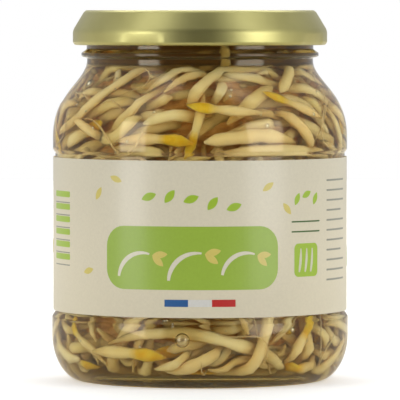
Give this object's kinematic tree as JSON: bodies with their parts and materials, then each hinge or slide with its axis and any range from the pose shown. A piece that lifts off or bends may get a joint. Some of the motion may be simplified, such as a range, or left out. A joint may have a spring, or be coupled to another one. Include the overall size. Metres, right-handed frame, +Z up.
{
  "type": "jar of bean sprouts",
  "caption": "Twist-off glass jar with a metal lid and a wrap-round paper label, packed full of bean sprouts in brine.",
  "frame": {"origin": "centre of the jar's footprint, on the surface that it stands on", "axes": "+Z up along the jar's axis, -Y towards the viewer and the front of the label, +X to the viewer's right"},
  "size_m": [0.0816, 0.0816, 0.1017],
  "materials": {
    "glass": "clear, slightly green, glossy",
    "lid_metal": "gold lacquered tinplate, satin",
    "compound": "soft pale sealing compound, matt",
    "paper": "coated cream paper, low gloss",
    "brine": "clear amber liquid",
    "sprout": "wet, pale, slightly translucent plant"
  },
  "bodies": {
    "jar": {"glass_jar": "glass", "label": "paper", "brine": "brine", "sprouts": "sprout"},
    "lid": {"lid": "lid_metal", "lid_seal": "compound"}
  },
  "joints": [
    {"name": "lid_twist", "type": "hinge", "parent": "jar", "child": "lid", "pos_m": [0, 0, 0.0966], "axis": [0, 0, 1], "range_deg": [0, 60]}
  ]
}
